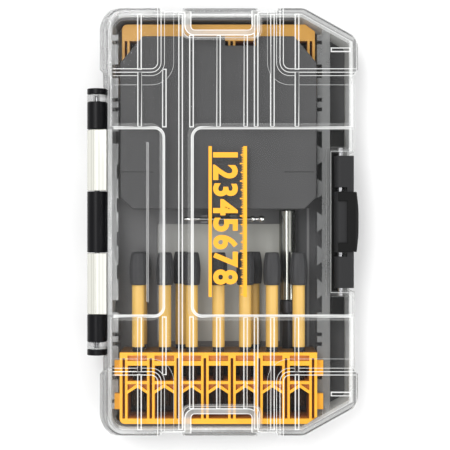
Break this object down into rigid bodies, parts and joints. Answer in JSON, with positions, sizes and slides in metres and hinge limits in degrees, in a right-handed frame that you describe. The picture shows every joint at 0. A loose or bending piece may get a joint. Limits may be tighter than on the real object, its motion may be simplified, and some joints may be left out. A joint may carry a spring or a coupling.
{
  "type": "bit set case",
  "caption": "Clear hinged case with a side latch, holding long driver bits in racks, a drive guide and a cover panel.",
  "frame": {"origin": "middle of the footprint, on the surface that the case lies on", "axes": "+Z out of the lid, +Y along the long side towards the cover panel, +X towards the latch"},
  "size_m": [0.1584, 0.25, 0.046],
  "materials": {
    "clear_base": "clear moulded plastic, glossy",
    "clear_lid": "clear moulded plastic, glossy",
    "black_hinge": "satin",
    "latch_charcoal": "fine texture",
    "latch_black": "satin",
    "pin_steel": "drawn",
    "liner_grey": "matte",
    "cover_grey": "matte",
    "rack_yellow": "satin",
    "sleeve_amber": "satin",
    "collar_black": "satin",
    "dark_steel": "black oxide",
    "bright_steel": "polished",
    "magnet_steel": "plated"
  },
  "bodies": {
    "base": {"base_shell": "clear_base", "hinge_knuckle_middle": "black_hinge", "hinge_knuckle_upper": "black_hinge", "hinge_knuckle_lower": "black_hinge", "hinge_cap_upper": "black_hinge", "hinge_cap_lower": "black_hinge", "hinge_pin": "pin_steel", "latch_bridge": "latch_black", "main_liner": "liner_grey", "side_liner": "liner_grey", "cover_panel": "cover_grey", "rack_front": "rack_yellow", "rack_rear": "rack_yellow", "rack_top": "rack_yellow", "slim_rod": "bright_steel"},
    "lid": {"lid_shell": "clear_lid", "latch_pin": "pin_steel"},
    "latch": {"latch_body": "latch_charcoal", "latch_grip": "latch_black"},
    "drive_guide": {"drive_guide_core": "dark_steel", "drive_guide_magnet": "magnet_steel"},
    "guide_sleeve": {"drive_guide_sleeve": "bright_steel"},
    "bit_front_1": {"bit_front_1_core": "dark_steel", "bit_front_1_sleeve": "sleeve_amber", "bit_front_1_collar": "collar_black"},
    "bit_front_2": {"bit_front_2_core": "dark_steel", "bit_front_2_sleeve": "sleeve_amber", "bit_front_2_collar": "collar_black"},
    "bit_front_3": {"bit_front_3_core": "dark_steel", "bit_front_3_sleeve": "sleeve_amber", "bit_front_3_collar": "collar_black"},
    "bit_front_4": {"bit_front_4_core": "dark_steel", "bit_front_4_sleeve": "sleeve_amber", "bit_front_4_collar": "collar_black"},
    "bit_front_5": {"bit_front_5_core": "dark_steel", "bit_front_5_sleeve": "sleeve_amber", "bit_front_5_collar": "collar_black"},
    "bit_front_6": {"bit_front_6_core": "dark_steel", "bit_front_6_sleeve": "sleeve_amber", "bit_front_6_collar": "collar_black"},
    "bit_front_7": {"bit_front_7_core": "dark_steel", "bit_front_7_sleeve": "sleeve_amber", "bit_front_7_collar": "collar_black"},
    "bit_rear_1": {"bit_rear_1_core": "dark_steel", "bit_rear_1_sleeve": "sleeve_amber", "bit_rear_1_collar": "collar_black"},
    "bit_rear_2": {"bit_rear_2_core": "dark_steel", "bit_rear_2_sleeve": "sleeve_amber", "bit_rear_2_collar": "collar_black"},
    "bit_rear_3": {"bit_rear_3_core": "dark_steel", "bit_rear_3_sleeve": "sleeve_amber", "bit_rear_3_collar": "collar_black"}
  },
  "joints": [
    {"name": "lid_hinge", "type": "hinge", "parent": "base", "child": "lid", "pos_m": [-0.07345, 0, 0.027], "axis": [0, -1, 0], "range_deg": [0, 180]},
    {"name": "latch_hinge", "type": "hinge", "parent": "lid", "child": "latch", "pos_m": [0.0679, 0, 0.037], "axis": [0, -1, 0], "range_deg": [0, 95]},
    {"name": "drive_guide_slide", "type": "slide", "parent": "base", "child": "drive_guide", "axis": [0, 1, 0], "range_m": [0, 0.024]},
    {"name": "guide_sleeve_slide", "type": "slide", "parent": "drive_guide", "child": "guide_sleeve", "axis": [0, 1, 0], "range_m": [0, 0.012]},
    {"name": "bit_front_1_slide", "type": "slide", "parent": "base", "child": "bit_front_1", "axis": [0, 1, 0], "range_m": [0, 0.024]},
    {"name": "bit_front_2_slide", "type": "slide", "parent": "base", "child": "bit_front_2", "axis": [0, 1, 0], "range_m": [0, 0.024]},
    {"name": "bit_front_3_slide", "type": "slide", "parent": "base", "child": "bit_front_3", "axis": [0, 1, 0], "range_m": [0, 0.024]},
    {"name": "bit_front_4_slide", "type": "slide", "parent": "base", "child": "bit_front_4", "axis": [0, 1, 0], "range_m": [0, 0.024]},
    {"name": "bit_front_5_slide", "type": "slide", "parent": "base", "child": "bit_front_5", "axis": [0, 1, 0], "range_m": [0, 0.024]},
    {"name": "bit_front_6_slide", "type": "slide", "parent": "base", "child": "bit_front_6", "axis": [0, 1, 0], "range_m": [0, 0.024]},
    {"name": "bit_front_7_slide", "type": "slide", "parent": "base", "child": "bit_front_7", "axis": [0, 1, 0], "range_m": [0, 0.024]},
    {"name": "bit_rear_1_slide", "type": "slide", "parent": "base", "child": "bit_rear_1", "axis": [0, 1, 0], "range_m": [0, 0.024]},
    {"name": "bit_rear_2_slide", "type": "slide", "parent": "base", "child": "bit_rear_2", "axis": [0, 1, 0], "range_m": [0, 0.024]},
    {"name": "bit_rear_3_slide", "type": "slide", "parent": "base", "child": "bit_rear_3", "axis": [0, 1, 0], "range_m": [0, 0.024]}
  ]
}
